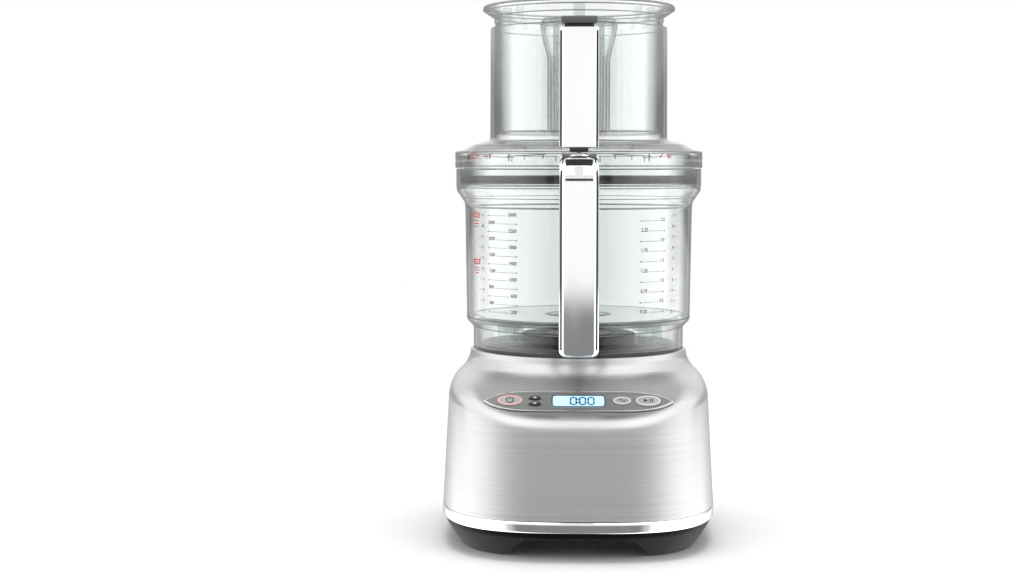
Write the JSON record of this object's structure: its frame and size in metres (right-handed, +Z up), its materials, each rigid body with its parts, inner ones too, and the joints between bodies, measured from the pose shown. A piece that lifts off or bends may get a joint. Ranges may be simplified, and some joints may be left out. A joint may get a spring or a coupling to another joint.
{
  "type": "food processor",
  "caption": "Food processor with a square motor base, sloping control shelf, clear bowl with a handle, lid with a wide hopper and nested pushers.",
  "frame": {"origin": "centre of the base's footprint on the table", "axes": "+X to the right seen from the front, -Y to the front, +Z up along the bowl's axis"},
  "size_m": [0.2374, 0.2676, 0.4655],
  "materials": {
    "housing": "fine horizontal brushing, satin",
    "trim_band": "polished",
    "bottom_pan": "fine texture",
    "rubber": "matt",
    "fastener": "zinc plated",
    "panel_plate": "satin",
    "display_lens": "lit display behind a clear window",
    "dark_plastic": "moulded, fine texture",
    "button": "satin with a raised ring",
    "circuit": "solder mask",
    "laminations": "stacked sheets",
    "winding": "enamelled copper wire",
    "casting": "die cast",
    "machined_steel": "ground",
    "clear_plastic": "clear, slightly cool tint",
    "polished_cover": "mirror polished",
    "seal": "soft, satin"
  },
  "bodies": {
    "base": {"housing": "housing", "trim_band": "trim_band", "bottom_pan": "bottom_pan", "foot_pad_1": "rubber", "foot_pad_2": "rubber", "foot_pad_3": "rubber", "foot_pad_4": "rubber", "pan_screw_1": "fastener", "pan_screw_2": "fastener", "pan_screw_3": "fastener", "pan_screw_4": "fastener", "cord_gland": "rubber", "panel_plate": "panel_plate", "display_lens": "display_lens", "display_module": "dark_plastic", "control_board": "circuit", "bowl_deck": "dark_plastic", "shaft_seal": "rubber", "interlock_switch": "dark_plastic", "power_board": "circuit", "motor_stator": "laminations", "lower_winding": "winding", "upper_winding": "winding", "lower_bracket": "casting", "upper_bracket": "casting", "lower_bearing": "machined_steel", "upper_bearing": "machined_steel", "motor_bush_1": "rubber", "motor_bush_2": "rubber", "motor_bush_3": "rubber", "motor_bush_4": "rubber", "switch_pin_spring": "fastener"},
    "rotor": {"motor_shaft": "machined_steel", "rotor_core": "laminations", "cooling_fan": "dark_plastic", "drive_spindle": "machined_steel"},
    "power_button": {"power_button": "button"},
    "time_up_button": {"time_up_button": "button"},
    "time_down_button": {"time_down_button": "button"},
    "pulse_button": {"pulse_button": "button"},
    "start_button": {"start_button": "button"},
    "switch_pin": {"switch_pin": "dark_plastic"},
    "bowl": {"bowl": "clear_plastic", "handle_frame": "dark_plastic", "handle_cover": "polished_cover", "rod_spring": "fastener"},
    "handle_rod": {"handle_rod": "dark_plastic"},
    "lid": {"lid": "clear_plastic", "lid_seal": "seal", "interlock_cover": "polished_cover"},
    "lid_plunger": {"lid_plunger": "dark_plastic"},
    "pusher": {"pusher": "clear_plastic"},
    "small_pusher": {"small_pusher": "clear_plastic"}
  },
  "joints": [
    {"name": "rotor_spin", "type": "hinge", "parent": "base", "child": "rotor", "pos_m": [0, 0.0232, 0.1], "axis": [0, 0, 1], "continuous": true},
    {"name": "power_press", "type": "slide", "parent": "base", "child": "power_button", "axis": [0, 0.5736, -0.8192], "range_m": [0, 0.001], "stiffness_N_per_m": 900, "springref_m": -0.0008},
    {"name": "time_up_press", "type": "slide", "parent": "base", "child": "time_up_button", "axis": [0, 0.5736, -0.8192], "range_m": [0, 0.001], "stiffness_N_per_m": 900, "springref_m": -0.0008},
    {"name": "time_down_press", "type": "slide", "parent": "base", "child": "time_down_button", "axis": [0, 0.5736, -0.8192], "range_m": [0, 0.001], "stiffness_N_per_m": 900, "springref_m": -0.0008},
    {"name": "pulse_press", "type": "slide", "parent": "base", "child": "pulse_button", "axis": [0, 0.5736, -0.8192], "range_m": [0, 0.001], "stiffness_N_per_m": 900, "springref_m": -0.0008},
    {"name": "start_press", "type": "slide", "parent": "base", "child": "start_button", "axis": [0, 0.5736, -0.8192], "range_m": [0, 0.001], "stiffness_N_per_m": 900, "springref_m": -0.0008},
    {"name": "switch_pin_press", "type": "slide", "parent": "base", "child": "switch_pin", "axis": [0, 0, -1], "range_m": [0, 0.003], "stiffness_N_per_m": 250, "springref_m": -0.004, "deforming": ["switch_pin_spring"]},
    {"name": "bowl_lift", "type": "slide", "parent": "base", "child": "bowl", "axis": [0, 0, 1], "range_m": [0, 0.13]},
    {"name": "handle_rod_press", "type": "slide", "parent": "bowl", "child": "handle_rod", "axis": [0, 0, -1], "range_m": [0, 0.003], "stiffness_N_per_m": 250, "springref_m": -0.004, "deforming": ["rod_spring"]},
    {"name": "lid_lift", "type": "slide", "parent": "bowl", "child": "lid", "axis": [0, 0, 1], "range_m": [0, 0.05]},
    {"name": "lid_plunger_press", "type": "slide", "parent": "lid", "child": "lid_plunger", "axis": [0, 0, -1], "range_m": [0, 0.003], "stiffness_N_per_m": 400, "springref_m": -0.004},
    {"name": "pusher_lift", "type": "slide", "parent": "lid", "child": "pusher", "axis": [0, 0, 1], "range_m": [0, 0.11]},
    {"name": "small_pusher_lift", "type": "slide", "parent": "pusher", "child": "small_pusher", "axis": [0, 0, 1], "range_m": [0, 0.105]}
  ],
  "couplings": [
    {"joint": "handle_rod_press", "follows": "lid_plunger_press", "ratio": 1},
    {"joint": "switch_pin_press", "follows": "lid_plunger_press", "ratio": 1}
  ]
}
